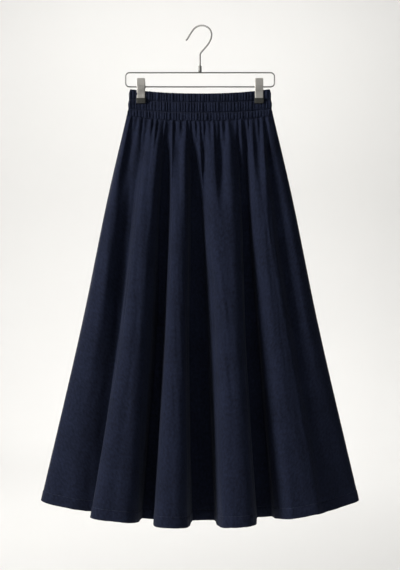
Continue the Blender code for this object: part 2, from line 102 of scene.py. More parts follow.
# Large folds, A to D in front and E to H behind. Each row is a line that runs down the cloth from
# the waist seam to the hem.
# Columns: line, its place across at the waist, at the upper and the middle level and at the hem,
# then how far it stands out from the side seams at the last three.
FOLD_LEVELS = (0.0, 0.205, 0.53, 1.0)
FRONT_FOLDS = (
    ("side seam", -168, -210, -269, -365, 0, 0, 0),
    ("left wing", -156, -191, -230, -293, 18, 32, 33),
    ("A, left foot", -134, -152, -184, -242, 9, 12, 22),
    ("A, left turn", -122, -141, -176, -243, 29, 54, 84),
    ("A, crest", -104, -121, -145, -188, 41, 78, 114),
    ("A, right turn", -82, -98, -112, -138, 31, 52, 74),
    ("A, right foot", -74, -88, -97, -131, 9, 12, 20),
    ("B, left foot", -68, -74, -84, -106, 9, 12, 20),
    ("B, left turn", -60, -64, -77, -102, 30, 56, 90),
    ("B, crest", -45, -47, -55, -61, 43, 84, 132),
    ("B, right turn", -29, -28, -29, -24, 32, 58, 86),
    ("B, right foot", -20, -19, -22, -17, 9, 12, 16),
    ("C, left foot", -9, 1, 10, 30, 9, 12, 14),
    ("C, left turn", 7, 13, 31, 42, 28, 54, 88),
    ("C, crest", 37, 43, 60, 78, 44, 86, 132),
    ("C, right turn", 79, 88, 99, 124, 34, 62, 90),
    ("C, right foot", 93, 98, 105, 131, 9, 12, 20),
    ("D, left foot", 103, 108, 129, 162, 9, 12, 18),
    ("D, left turn", 111, 118, 136, 170, 27, 40, 54),
    ("D, crest", 128, 139, 165, 204, 37, 58, 90),
    ("D, ridge", 146, 158, 193, 264, 32, 52, 77),
    ("hollow right of D", 154, 171, 212, 281, 14, 30, 62),
    ("right wing", 160, 191, 238, 317, 18, 30, 38),
    ("side seam", 168, 209, 268, 365, 0, 0, 0),
)
BACK_FOLDS = (
    ("side seam", -168, -210, -269, -365, 0, 0, 0),
    ("left wing", -157, -191, -232, -300, 18, 31, 44),
    ("E, left foot", -147, -168, -198, -248, 9, 13, 22),
    ("E, left turn", -138, -153, -186, -244, 28, 50, 76),
    ("E, crest", -119, -126, -152, -198, 40, 75, 110),
    ("E, right turn", -98, -100, -118, -150, 31, 52, 78),
    ("E, right foot", -88, -88, -106, -142, 9, 13, 22),
    ("F, left foot", -76, -78, -90, -112, 9, 12, 20),
    ("F, left turn", -66, -67, -80, -106, 30, 54, 84),
    ("F, crest", -44, -42, -48, -62, 43, 83, 126),
    ("F, right turn", -20, -16, -12, -16, 32, 57, 86),
    ("F, right foot", -10, -5, -1, -8, 9, 12, 18),
    ("G, left foot", 4, 8, 20, 28, 9, 12, 16),
    ("G, left turn", 13, 18, 32, 36, 29, 53, 84),
    ("G, crest", 38, 44, 62, 78, 44, 84, 130),
    ("G, right turn", 64, 72, 92, 120, 33, 58, 84),
    ("G, right foot", 75, 84, 104, 128, 9, 12, 20),
    ("H, left foot", 86, 96, 126, 160, 9, 13, 20),
    ("H, left turn", 96, 108, 137, 168, 27, 46, 68),
    ("H, crest", 118, 132, 166, 212, 38, 66, 100),
    ("H, right turn", 138, 156, 193, 252, 29, 48, 70),
    ("H, right foot", 148, 170, 208, 268, 13, 27, 42),
    ("right wing", 159, 191, 237, 316, 18, 31, 44),
    ("side seam", 168, 210, 269, 365, 0, 0, 0),
)

# Gathers at the waist seam: the place across of each ridge there, and those that run on down
FRONT_GATHERS = (
    -158, -149, -138, -126, -112, -100, -90, -79, -63, -48, -33, -24, -13, -3, 7,
    18, 30, 39, 49, 64, 82, 93, 108, 117, 130, 142, 155,
)
FRONT_LONG_GATHERS = (-158, -138, -100, -63, -33, -3, 30, 64, 93, 117, 142, 155)
BACK_GATHERS = (
    -160, -152, -141, -130, -119, -106, -95, -84, -72, -60, -47, -36, -25, -12, -1,
    11, 22, 33, 46, 58, 70, 83, 94, 107, 119, 131, 144, 157,
)
BACK_LONG_GATHERS = (-160, -130, -106, -72, -47, -12, 22, 46, 83, 107, 131, 157)
# Gathers that are much lower than their neighbours, by their number from the left
FRONT_LOW_GATHERS = (1, 3, 6, 11, 13, 15, 17, 20, 23, 25)
BACK_LOW_GATHERS = (2, 5, 8, 12, 15, 18, 21, 26)
LOW_GATHER = 0.35
SHORT_GATHER_HEIGHT = 2.6
SHORT_GATHER_LENGTH = 95.0
LONG_GATHER_HEIGHT = 5.0
LONG_GATHER_AT_SEAM = 0.8
LONG_GATHER_FULLEST = 80.0
LONG_GATHER_LENGTH = 260.0
FINE_GATHER_HEIGHT = 0.7
FINE_GATHER_LENGTH = 42.0
# Lowest and highest share that a short gather has of the height and of the length
GATHER_HEIGHTS = (0.85, 1.25)
GATHER_LENGTHS = (0.55, 1.45)
SIDE_STEEPNESS = 14.0

# Folds whose two flanks are rounded outwards, how far at the seam and at the hem, and the
# distances under the seam where it starts and is full
ROUNDED_FOLDS = [f"{letter}, crest" for letter in "ABCEFGH"]
ROUNDING_AT_SEAM = 1.2
ROUNDING_AT_HEM = 7.5
ROUNDING_STARTS = (10.0, 90.0)

# Creases laid over the folds: a ridge, or a trough where the height is negative.
# Columns: place across 90 mm under the seam, half width, height, then how far under the seam it
# starts, is at its fullest and ends.
CREASE_LEVEL = 0.1
FRONT_CREASES = (
    (-173, 9, 5.0, 60, 230, 720),
    (-151, 7, -4.0, 60, 230, 720),
    (-115, 8, -2.6, 20, 90, 230),
    (-99, 7, 2.4, 20, 90, 260),
    (-51, 8, -2.6, 25, 95, 240),
    (-37, 7, 2.2, 25, 100, 300),
    (-2, 6, 1.8, 15, 80, 210),
    (8, 6, -2.4, 25, 95, 200),
    (23, 8, 2.2, 20, 90, 260),
    (46, 9, -2.4, 30, 110, 240),
    (62, 8, 2.0, 25, 100, 250),
    (99, 6, 1.8, 15, 80, 180),
    (128, 7, -2.6, 20, 85, 200),
    (139, 6, 2.4, 20, 100, 240),
)
BACK_CREASES = (
    (-126, 8, -2.4, 20, 85, 220),
    (-104, 7, 2.2, 20, 100, 250),
    (-64, 8, 2.0, 25, 90, 210),
    (-50, 7, -2.6, 25, 105, 260),
    (-22, 7, 2.2, 20, 80, 240),
    (10, 6, -2.0, 20, 90, 190),
    (27, 8, 2.2, 25, 100, 280),
    (48, 8, -2.4, 25, 95, 230),
    (70, 7, 2.0, 20, 85, 200),
    (112, 7, -2.2, 20, 90, 210),
    (133, 6, 2.2, 20, 95, 240),
)

# Slight unevenness of the cloth. Columns: height, length across, length down.
UNEVENNESS = (
    (0.9, 46.0, 380.0),
    (0.35, 17.0, 140.0),
)
UNEVENNESS_STARTS = (60.0, 260.0)

# Mesh of a panel: points across, then points down in the gathered part and under it
PANEL_COLUMNS = 300
GATHERED_PART = 0.24
GATHERED_STEPS = 64
PLAIN_STEPS = 80
STEPS_DOWN = 200
# Mesh of the band: points round it, rows outside and inside, and its points' crowding at the ends
RING_COLUMNS = 1100
BAND_STEPS = 44
BAND_STEPS_INSIDE = 12
END_CROWDING = 0.12

# Sewing
STITCH = 2.7
STITCH_SPACING = 3.5
THREAD = 0.5
STITCH_POINTS = 6
# Rings along a thread: share of its length, share of its thickness, height over the cloth
STITCH_RINGS = (
    (0.0, 0.3, -0.25), (0.12, 0.75, 0.0), (0.35, 1.0, 0.16), (0.65, 1.0, 0.16),
    (0.88, 0.75, 0.0), (1.0, 0.3, -0.25),
)

# Wire hanger
WIRE = 3.0
FRAME_HALF_WIDTH = 171.0
FRAME_TOP = -106.3
FRAME_BOTTOM = -138.9
FRAME_CORNER = 9.0
HOOK_WIRE = 3.8
HOOK_TURN = radians(-33.0)
TIP_STEPS = 6
# Centre line of the hook in its own plane: across, then height
HOOK_ROUTE = (
    (0.0, -104.4), (0.0, -84.0), (0.0, -66.0), (1.6, -61.6), (6.9, -56.6), (17.3, -47.8),
    (25.8, -38.6), (30.0, -30.6), (31.3, -23.0), (29.2, -15.0), (24.7, -8.4), (17.3, -2.8),
    (9.2, 0.7), (0.0, 1.9), (-8.4, 0.7), (-16.2, -3.0), (-26.0, -12.6), (-34.0, -22.6),
    (-38.9, -27.6),
)
FERRULE_TOP = -90.6
FERRULE_BOTTOM = -104.5
FERRULE_RADIUS = 3.9

# Clips
CLIP_WIDTH = 19.0
CLIP_SHEET = 0.9
# Side view of a plate: reach, height, depth of its side flanges
CLIP_PROFILE = (
    (10.4, -120.7, 0.9), (10.1, -122.4, 1.6), (9.4, -126.0, 2.4), (8.3, -131.0, 3.4),
    (7.6, -134.8, 6.0), (7.4, -137.0, 9.6), (7.4, -139.0, 10.3), (7.4, -141.0, 9.6),
    (7.4, -143.4, 5.6), (7.8, -147.6, 2.6), (8.3, -152.6, 1.6), (8.3, -160.0, 0.9),
    (8.3, -175.0, 0.5),
)
CLIP_CORNER = 1.0
CLIP_INSET = 1.2
CLIP_SPLAY = 0.08
CLIP_TIP_NARROWING = 1.6
CLIP_TIP_HEIGHT = 2.2
BOOT_WIDTH = 22.0
BOOT_INNER = 5.8
BOOT_OUTER = 10.6
BOOT_TOP = -166.2
BOOT_POINTS = 64
# Outline of a boot down its height: drop under its top, share of its width, share of its depth
BOOT_LEVELS = (
    (0.0, 0.55, 0.5), (0.0, 0.93, 0.8), (-0.25, 0.985, 0.94), (-0.8, 1.0, 1.0), (-2.0, 1.0, 1.0),
    (-2.5, 0.975, 0.9), (-3.4, 0.965, 0.87), (-6.5, 0.96, 0.87), (-9.0, 0.96, 0.9),
    (-10.6, 0.955, 0.92), (-11.5, 0.93, 0.84), (-12.0, 0.85, 0.6), (-12.0, 0.5, 0.3),
)
SPRING_RADIUS = 2.5
SPRING_WIRE = 0.9
SPRING_TURNS = 9
SPRING_CLEARANCE = 1.4
# A leg of the spring from its tip: reach, height over the wire
SPRING_LEG = ((6.2, 9.0), (4.6, 5.0))

# Soft lights, in metres and watts. Columns: name, place, what it is turned to, size, power,
# colour, spread in degrees.
WARM = (1.0, 0.99, 0.97)
WARMER = (1.0, 0.985, 0.96)
COOL = (0.93, 0.97, 1.0)
LIGHTS = (
    ("key_left", (-4.24, -2.45, 1.2), (0.0, 0.0, -0.6), (1.2, 2.0), 340.0, WARMER, 180.0),
    ("fill_right", (2.2, -3.0, -0.3), (0.1, 0.0, -0.7), (1.4, 1.6), 11.0, COOL, 180.0),
    ("wall_above", (0.12, 2.6, 2.6), (0.12, 3.5, -1.0), (3.4, 1.2), 49.0, WARM, 108.0),
    ("floor_above", (0.3, 1.9, 0.5), (0.3, 2.2, -1.5), (3.0, 1.2), 5.5, WARM, 100.0),
    ("back_left", (-2.6, 3.0, 0.8), (0.0, 0.1, -0.6), (1.0, 1.6), 18.0, WARM, 60.0),
)

# The photograph's camera, in metres; its lens in millimetres
CAMERA = (0.0, -2.3, -0.5943)
LENS = 63.2

# Weave of the cloth, in metres
WEAVE_PITCH = 0.0009


def smooth(places, values, wanted, ends=None):
    """Values of the smooth curve through the given ones, which is flat where they turn back.

    Values may have further axes. Ends are the curve's slopes at its two ends.
    """
    places = np.asarray(places, float)
    values = np.asarray(values, float)
    wanted = np.asarray(wanted, float)
    extra = (1,) * (values.ndim - 1)
    steps = np.diff(places).reshape(-1, *extra)
    rises = np.diff(values, axis=0) / steps
    before, after = rises[:-1], rises[1:]
    same_way = before * after > 0.0
    weight_before = 2.0 * steps[1:] + steps[:-1]
    weight_after = steps[1:] + 2.0 * steps[:-1]
    blend = weight_before / np.where(same_way, before, 1.0)
    blend = blend + weight_after / np.where(same_way, after, 1.0)
    inner = np.where(same_way, (weight_before + weight_after) / np.where(same_way, blend, 1.0), 0.0)
    first, last = (rises[:1], rises[-1:]) if ends is None else ends
    slopes = np.concatenate((first, inner, last))

    at = np.clip(np.searchsorted(places, wanted, side="right") - 1, 0, len(places) - 2)
    step = steps[at]
    part = (wanted - places[at]).reshape(-1, *extra) / step
    rest = 1.0 - part
    from_first = rest * rest * ((1.0 + 2.0 * part) * values[at] + part * step * slopes[at])
    from_second = part * part * ((1.0 + 2.0 * rest) * values[at + 1] - rest * step * slopes[at + 1])
    return from_first + from_second


def run_along(path):
    """Length of a path up to each of its points."""
    return np.concatenate(([0.0], np.cumsum(np.linalg.norm(np.diff(path, axis=0), axis=1))))


def at_lengths(path, run, wanted):
    """Points of a path, or its normals, at the wanted lengths along it."""
    return np.stack([np.interp(wanted, run, column) for column in path.T], axis=1)


def fade(distance, full, end):
    """1 up to full, then smoothly down to 0 at end."""
    part = np.clip((distance - full) / (end - full), 0.0, 1.0)
    return 1.0 - part * part * (3.0 - 2.0 * part)


def ripple(across, down, across_length, down_length, seed, waves=9):
    """Uneven waves between -1 and 1, of about the given lengths across and down."""
    chance = np.random.default_rng(seed)
    total = np.zeros(np.broadcast(across, down).shape)
    for _ in range(waves):
        turn_across = chance.choice((-1.0, 1.0)) / (across_length * chance.uniform(0.6, 1.8))
        turn_down = 1.0 / (down_length * chance.uniform(0.6, 1.8))
        phase = chance.uniform(0.0, 2.0 * pi)
        total += np.cos(2.0 * pi * (across * turn_across + down * turn_down) + phase)
    return total / (0.6 * waves)


def band_inside(across):
    """How far the inside of the band stands off the middle: pinched by the clips, slack between."""
    slack = np.clip(1.0 - (across / CLIP_PLACE) ** 2, 0.0, 1.0)
    return BAND_PINCH + BAND_SLACK * slack ** 2


def seam_height(across):
    """Height of the waist seam, which rises towards the sides."""
    _, middle, end, half_width, _ = BAND_ROWS[-1]
    return middle + (end - middle) * (across / half_width) ** 2


def cut_length(places):
    """Length of the cloth from the waist seam to the hem, longest in the middle of the panel."""
    return CUT_LENGTH_MIDDLE + (CUT_LENGTH_SIDE - CUT_LENGTH_MIDDLE) * (2.0 * places - 1.0) ** 2


def side_fade(columns):
    """0 at the side seams and 1 over the rest of a panel."""
    return np.minimum(1.0, SIDE_STEEPNESS * np.minimum(columns, 1.0 - columns))


def outward_normals(points, side):
    """Normals of a grid of points, straight sideways at its sides."""
    down = np.gradient(points, axis=0)
    along = np.gradient(points, axis=1)
    normals = np.cross(along, down) * side
    normals[:, (0, -1), 1:] = 0.0
    return normals / np.linalg.norm(normals, axis=2, keepdims=True)


class Panel:
    """One panel's cloth, as a function of the place in it.

    A place across the cloth runs from 0 to 1 between the side seams, and a place down it is a
    share of the cut length.
    """

    def __init__(self, folds, gathers, low_gathers, long_gathers, creases, side, seed):
        table = np.array([row[1:] for row in folds], float)
        levels = len(FOLD_LEVELS)
        self.side = side
        self.seed = seed
        self.across = table[:, :levels]
        self.reach = np.zeros_like(self.across)
        self.reach[:, 1:] = table[:, levels:]
        standing_out = SOLID_CLOTH + SHORT_GATHER_HEIGHT + LONG_GATHER_AT_SEAM
        self.reach[1:-1, 0] = band_inside(self.across[1:-1, 0]) + standing_out
        chords = np.hypot(np.diff(self.across, axis=0), np.diff(self.reach, axis=0))
        hem = chords[:, -1]
        self.places = np.concatenate(([0.0], np.cumsum(hem))) / hem.sum()
        self.speeds = chords[[0, -1]] / np.diff(self.places)[[0, -1]].reshape(-1, 1)
        self.short = self.ridge_phases(gathers)
        self.long = self.ridge_phases(long_gathers)
        self.creases = creases
        chance = np.random.default_rng(seed)
        self.heights = chance.uniform(*GATHER_HEIGHTS, len(gathers))
        self.lengths = chance.uniform(*GATHER_LENGTHS, len(gathers))
        self.heights[list(low_gathers)] *= LOW_GATHER
        crests = [k for k, row in enumerate(folds) if row[0] in ROUNDED_FOLDS]
        self.flanks = [(k, k + 1) for crest in crests for k in (crest - 1, crest)]

    def ridge_phases(self, ridges):
        """Places of the gather ridges, each with its number, and the side seams half way past."""
        fine = np.linspace(0.0, 1.0, 400)
        waist = smooth(self.places, self.across[:, 0], fine)
        ridge_places = np.interp(ridges, waist, fine)
        places = np.concatenate(([0.0], ridge_places, [1.0]))
        numbers = np.concatenate(([-0.5], np.arange(len(ridges)), [len(ridges) - 0.5]))
        return places, numbers

    def columns(self):
        """Places across of the mesh, even at the hem and half way to even at the waist."""
        fine = np.linspace(0.0, 1.0, 2000)
        waist = smooth(self.places, self.across[:, 0], fine)
        even_at_waist = (waist - waist[0]) / (waist[-1] - waist[0])
        spread = 0.55 * fine + 0.45 * even_at_waist
        return np.interp(np.linspace(0.0, 1.0, PANEL_COLUMNS), spread, fine)

    def large_form(self, columns, down):
        """Place across and reach of the large folds, by place down and column."""
        still = np.zeros((1, len(FOLD_LEVELS)))
        across = smooth(self.places, self.across, columns, ends=(still, still))
        reach = smooth(self.places, self.reach, columns, ends=(self.speeds[:1], -self.speeds[1:]))
        return smooth(FOLD_LEVELS, across.T, down), smooth(FOLD_LEVELS, reach.T, down)

    def points(self, columns, rows):
        """Points of the outer surface in millimetres, by row and column."""
        down = np.union1d(np.linspace(0.0, 1.0, STEPS_DOWN), rows)
        across, reach = self.large_form(columns, down)
        reach = reach + self.gather_height(columns, down)
        distance = np.reshape(down, (-1, 1)) * cut_length(columns)
        pinch = SEAM_PINCH * np.exp(-(distance / SEAM_PINCH_LENGTH) ** 2)
        lying = np.minimum(band_inside(across) + CLOTH, reach)
        reach = reach + (lying - reach) * pinch
        lengths = np.diff(down).reshape(-1, 1) * cut_length(columns)
        moved = np.diff(across, axis=0) ** 2 + np.diff(reach, axis=0) ** 2
        drops = np.sqrt(np.maximum(lengths ** 2 - moved, 0.0))
        top = seam_height(across[:1])
        height = np.concatenate((top, top - np.cumsum(drops, axis=0)))
        kept = np.searchsorted(down, rows)
        return np.stack((across, self.side * reach, height), axis=-1)[kept]

    def gather_height(self, columns, down):
        """The gathers' ridges and hollows, which fade into the large folds below the waist."""
        distance = np.reshape(down, (-1, 1)) * cut_length(columns)
        turn = np.interp(columns, *self.short)
        number = np.arange(len(self.heights))
        own_height = np.interp(turn, number, self.heights)
        own_length = SHORT_GATHER_LENGTH * np.interp(turn, number, self.lengths)
        short = SHORT_GATHER_HEIGHT * own_height * fade(distance, 0.0, own_length)
        long_wave = np.cos(2.0 * pi * np.interp(columns, *self.long))
        growth = 1.0 - fade(distance, 0.0, LONG_GATHER_FULLEST)
        long = LONG_GATHER_AT_SEAM + (LONG_GATHER_HEIGHT - LONG_GATHER_AT_SEAM) * growth
        long = long * fade(distance, LONG_GATHER_FULLEST, LONG_GATHER_LENGTH)
        fine = FINE_GATHER_HEIGHT * fade(distance, 0.0, FINE_GATHER_LENGTH)
        fine_wave = ripple(turn, distance / 60.0, 0.5, 3.0, self.seed + 1)
        total = short * np.cos(2.0 * pi * turn) + long * long_wave + fine * fine_wave
        return side_fade(columns) * total

    def crease_height(self, columns, distance):
        """Small creases and the cloth's slight unevenness, off the large form."""
        across, _ = self.large_form(columns, np.array([CREASE_LEVEL]))
        total = np.zeros_like(distance)
        down = np.clip(distance / CUT_LENGTH_MIDDLE, 0.0, 1.0)
        bulge = ROUNDING_AT_SEAM + (ROUNDING_AT_HEM - ROUNDING_AT_SEAM) * down
        bulge = bulge * (1.0 - fade(distance, *ROUNDING_STARTS))
        for first, last in self.flanks:
            left, right = self.places[first], self.places[last]
            part = np.clip((columns - left) / (right - left), 0.0, 1.0)
            total += bulge * np.sin(pi * part) ** 2
        for place, half_width, height, first, fullest, last in self.creases:
            off = (across - place) / half_width
            shape = np.exp(-off * off)
            grown = 1.0 - fade(distance, first, fullest)
            total += height * shape * grown * fade(distance, fullest, last)
        low = 1.0 - fade(distance, *UNEVENNESS_STARTS)
        for number, (height, *lengths) in enumerate(UNEVENNESS, 2):
            waves = ripple(columns * HEM_LINE, distance, *lengths, self.seed + number)
            total += height * low * waves
        return total

    def surface(self, columns, rows):
        """Outer points and their normals, with the creases and the hem's topstitched groove."""
        points = self.points(columns, rows)
        normals = outward_normals(points, self.side)
        distance = np.reshape(rows, (-1, 1)) * cut_length(columns)
        off = self.crease_height(columns, distance) * side_fade(columns)
        from_edge = cut_length(columns) - distance
        stitched = np.exp(-((from_edge - HEM_DEPTH) / HEM_GROOVE_WIDTH) ** 2)
        waves = ripple(columns * HEM_LINE, 0.0 * distance, HEM_PUCKER_LENGTH, 1.0, self.seed + 4)
        near = np.exp(-((from_edge - HEM_DEPTH + HEM_PUCKER_BELOW) / HEM_PUCKER_REACH) ** 2)
        proud = HEM_PROUD * fade(from_edge, HEM_DEPTH - 2.0, HEM_DEPTH + 1.0)
        off = off - HEM_GROOVE * stitched + HEM_PUCKER * waves * near + proud
        points = points + off[..., None] * normals
        return points, outward_normals(points, self.side)


def mesh_object(name, vertices, faces, material, uv=None, sharp=None):
    """A smooth mesh object from points in millimetres."""
    mesh = bpy.data.meshes.new(name)
    vertices = np.asarray(vertices, float).reshape(-1, 3) * MM
    mesh.from_pydata(vertices.tolist(), [], [tuple(int(k) for k in face) for face in faces])
    if uv is not None:
        corners = np.empty(len(mesh.loops), np.int32)
        mesh.loops.foreach_get("vertex_index", corners)
        layer = mesh.uv_layers.new(name="cloth")
        layer.data.foreach_set("uv", np.asarray(uv, np.float32).reshape(-1, 2)[corners].ravel())
    mesh.shade_smooth()
    if sharp is not None:
        mesh.set_sharp_from_angle(angle=radians(sharp))
    mesh.materials.append(material)
    thing = bpy.data.objects.new(name, mesh)
    bpy.context.scene.collection.objects.link(thing)
    return thing


def grid_faces(rows, columns, wrap_rows=False, wrap_columns=False, flip=False):
    """Four-sided faces of a grid of points, numbered row by row."""
    last_row = rows if wrap_rows else rows - 1
    last_column = columns if wrap_columns else columns - 1
    row, column = np.meshgrid(np.arange(last_row), np.arange(last_column), indexing="ij")
    below, right = (row + 1) % rows, (column + 1) % columns
    corners = [row * columns + column, below * columns + column, below * columns + right,
               row * columns + right]
    faces = np.stack([corner.ravel() for corner in corners], axis=1)
    return faces[:, ::-1] if flip else faces


def cloth_uv(points):
    """Place in the cloth in metres: along each row from the middle, and down each column."""
    along = np.linalg.norm(np.diff(points, axis=1), axis=2)
    along = np.concatenate((np.zeros((len(points), 1)), np.cumsum(along, axis=1)), axis=1)
    along -= along[:, along.shape[1] // 2][:, None]
    down = np.linalg.norm(np.diff(points, axis=0), axis=2)
    down = np.concatenate((np.zeros((1, points.shape[1])), np.cumsum(down, axis=0)))
    return np.stack((along, -down), axis=-1) * MM


def panel_cloth(name, panel, material):
    """A panel as a thin closed shell, with its hem turned up inside."""
    columns = panel.columns()
    gathered = np.linspace(0.0, GATHERED_PART, GATHERED_STEPS, endpoint=False)
    hem_top = 1.0 - HEM_DEPTH / CUT_LENGTH_MIDDLE
    plain = np.linspace(GATHERED_PART, hem_top - 0.006, PLAIN_STEPS)
    # Rows close together round the topstitched groove
    hem = hem_top + np.array([-0.003, -0.0015, 0.0, 0.0015, 0.003, 0.009, 0.018])
    rows = np.concatenate((gathered, plain, hem, [0.9975, 1.0]))
    outer, normals = panel.surface(columns, rows)
    hem_share = 1.0 - fade(rows, hem_top - 0.001, hem_top + 0.0015)
    thickness = CLOTH + (HEM_CLOTH - CLOTH) * hem_share
    inner = outer - thickness[:, None, None] * normals
    tucked = outer[:1] + np.array([0.0, 0.0, SEAM_TUCK])
    tucked_in = inner[:1] + np.array([0.0, 0.0, SEAM_TUCK])
    outer = np.concatenate((tucked, outer))
    inner = np.concatenate((tucked_in, inner))
    uv = cloth_uv(outer)
    loop = np.concatenate((outer, inner[::-1]))
    count, width = len(outer), len(columns)
    faces = grid_faces(2 * count, width, wrap_rows=True, flip=panel.side > 0)
    row = np.arange(count - 1)
    caps = []
    for edge, turned in ((0, True), (width - 1, False)):
        quads = np.stack((row, row + 1, 2 * count - 2 - row, 2 * count - 1 - row), axis=1)
        quads = quads * width + edge
        caps.append(quads[:, ::-1] if turned != (panel.side > 0) else quads)
    faces = np.concatenate([faces] + caps)
    uv = np.concatenate((uv, uv[::-1]))
    return mesh_object(name, loop, faces, material, uv=uv)


class Band:
    """The shirred waistband as a ring, seen as rows of a closed outline."""

    def __init__(self):
        heights = np.array([row[1:3] for row in BAND_ROWS])
        self.shares = (heights[0, 0] - heights[:, 0]) / (heights[0, 0] - heights[-1, 0])
        self.table = np.array([row[1:] for row in BAND_ROWS])
        chance = np.random.default_rng(BAND_SEED)
        ribs = (2, 3, BAND_RIBS + 3)
        self.shifts = chance.uniform(-RIB_SHIFT, RIB_SHIFT, ribs)
        self.heights = chance.uniform(*RIB_HEIGHTS, ribs)
        self.leans = chance.uniform(-RIB_LEAN, RIB_LEAN, ribs)

    def ribs(self, across, share, half, channel):
        """Round ribs with sharp hollows between them, in one channel."""
        number = (across + RIB_SPAN / 2.0) / RIB_SPAN * (BAND_RIBS + 1)
        index = np.arange(BAND_RIBS + 3)
        spacing = RIB_SPAN / (BAND_RIBS + 1)
        lean = np.interp(number, index, self.leans[half, channel]) * (share - 0.5)
        shift = np.interp(number, index, self.shifts[half, channel]) + lean
        turn = number + shift / spacing
        height = np.interp(turn, index + 0.5, self.heights[half, channel])
        return height * np.abs(np.sin(pi * turn)) ** 0.75

    def outline(self, along, half, share):
        """Points of the outer surface on one half, for a place from -1 to 1 along it."""
        middle, end, half_width, hollow = self.levels(share)
        across = half_width * along
        channels = (self.shares[2], self.shares[4])
        first, second = (1.0 - fade(share, edge - 0.03, edge + 0.03) for edge in channels)
        pattern = (1.0 - first) * self.ribs(across, share, half, 0)
        pattern = pattern + first * (1.0 - second) * self.ribs(across, share, half, 1)
        pattern = pattern + second * self.ribs(across, share, half, 2)
        turn = np.clip((half_width - np.abs(across)) / BAND_END_ROUNDING, 0.0, 1.0)
        rounding = np.sqrt(1.0 - (1.0 - turn) ** 2)
        groove = sum(np.exp(-((share - edge) / STITCH_GROOVE_SHARE) ** 2) for edge in channels)
        puff = self.puff(share)
        rib_height = RIB_SCALE * (RIB_AT_STITCHES + (1.0 - RIB_AT_STITCHES) * puff)
        raised = rib_height * pattern + CHANNEL_PUFF * puff - STITCH_GROOVE * groove
        reach = rounding * (band_inside(across) + np.maximum(hollow + raised, BAND_THINNEST))
        return self.laid(across, reach, middle + (end - middle) * along ** 2, half, share)

    def inside(self, along, half, share):
        """Points of the inner surface, which is shirred a little less."""
        middle, end, half_width, _ = self.levels(share)
        across = (half_width - BAND_WALL) * along
        channel = int(np.searchsorted((self.shares[2], self.shares[4]), share))
        slack = np.clip((band_inside(across) - BAND_PINCH) / BAND_SLACK, 0.0, 1.0)
        ribs = 1.1 * slack * self.ribs(across, share, half, channel)
        ends = np.clip((1.0 - np.abs(along)) * 30.0, 0.0, 1.0)
        reach = ends * (band_inside(across) - ribs)
        return self.laid(across, reach, middle + (end - middle) * along ** 2, half, share)

    def puff(self, share):
        """0 at a row of stitching and 1 in the middle of a channel."""
        edges = (-0.06, self.shares[2], self.shares[4], 1.06)
        channel = int(np.searchsorted(edges[1:3], share))
        part = (share - edges[channel]) / (edges[channel + 1] - edges[channel])
        return float(np.clip(sin(pi * part), 0.0, 1.0)) ** 0.6

    def levels(self, share):
        """Height in the middle and at the ends, half width, and cloth between two ribs."""
        return smooth(self.shares, self.table, np.array([share]))[0]

    def laid(self, across, reach, height, half, share):
        """Points on one half, lowered near the top edge, which is rounded over."""
        height = height - RIM * max(0.0, 1.0 - share / RIM_SHARE)
        return np.stack((across, (FRONT, BACK)[half] * reach, height), axis=-1)

    def ring(self, row):
        """The whole way round from the two halves of a row."""
        half_count = RING_COLUMNS // 2
        along = np.linspace(-1.0, 1.0, half_count + 1)
        along = np.sin(along * pi / 2.0) * END_CROWDING + along * (1.0 - END_CROWDING)
        front = row(along, 0)
        back = row(along, 1)
        return np.concatenate((front[:-1], back[:0:-1]))


def waistband(name, band, material):
    """The band as one closed ring of cloth, rounded over at its top edge."""
    outer = np.array([
        band.ring(lambda along, half: band.outline(along, half, share))
        for share in np.linspace(0.0, 1.0, BAND_STEPS)
    ])
    inner = np.array([
        band.ring(lambda along, half: band.inside(along, half, share))
        for share in np.linspace(1.0, 0.0, BAND_STEPS_INSIDE)
    ])
    over_top = []
    for angle in (30.0, 60.0, 90.0, 120.0, 150.0):
        part = (1.0 - cos(radians(angle))) / 2.0
        rim = inner[-1] * (1.0 - part) + outer[0] * part
        rim[:, 2] += RIM * sin(radians(angle))
        over_top.append(rim)
    under = (outer[-1] * 0.75 + inner[0] * 0.25)[None]
    under[..., 2] -= BAND_UNDERSIDE
    loop = np.concatenate((outer, under, inner, np.array(over_top)))
    uv = cloth_uv(loop)
    faces = grid_faces(*loop.shape[:2], wrap_rows=True, wrap_columns=True)
    return mesh_object(name, loop, faces, material, uv=uv)


def stitches(name, path, normals, material):
    """A row of short threads laid along a path, each sunk a little at its ends."""
    run = run_along(path)
    count = int(run[-1] / STITCH_SPACING)
    starts = (np.arange(count) + 0.5) * run[-1] / count - STITCH / 2.0
    vertices = []
    for share, width, lift in STITCH_RINGS:
        at = starts + share * STITCH
        centre = at_lengths(path, run, at)
        along = at_lengths(path, run, at + 0.4) - centre + 1e-9
        out = at_lengths(normals, run, at)
        out /= np.linalg.norm(out, axis=1, keepdims=True)
        sideways = np.cross(along, out)
        sideways /= np.linalg.norm(sideways, axis=1, keepdims=True)
        for k in range(STITCH_POINTS):
            angle = 2.0 * pi * k / STITCH_POINTS
            off = cos(angle) * sideways + sin(angle) * out
            vertices.append(centre + lift * out + THREAD / 2.0 * width * off)
    vertices = np.stack(vertices, axis=1)
    size = len(STITCH_RINGS) * STITCH_POINTS
    one = grid_faces(len(STITCH_RINGS), STITCH_POINTS, wrap_columns=True)
    faces = [face + size * k for k in range(count) for face in one]
    first = np.arange(STITCH_POINTS)
    ends = (first, first[::-1] + size - STITCH_POINTS)
    faces += [end + size * k for k in range(count) for end in ends]
    return mesh_object(name, vertices, faces, material)


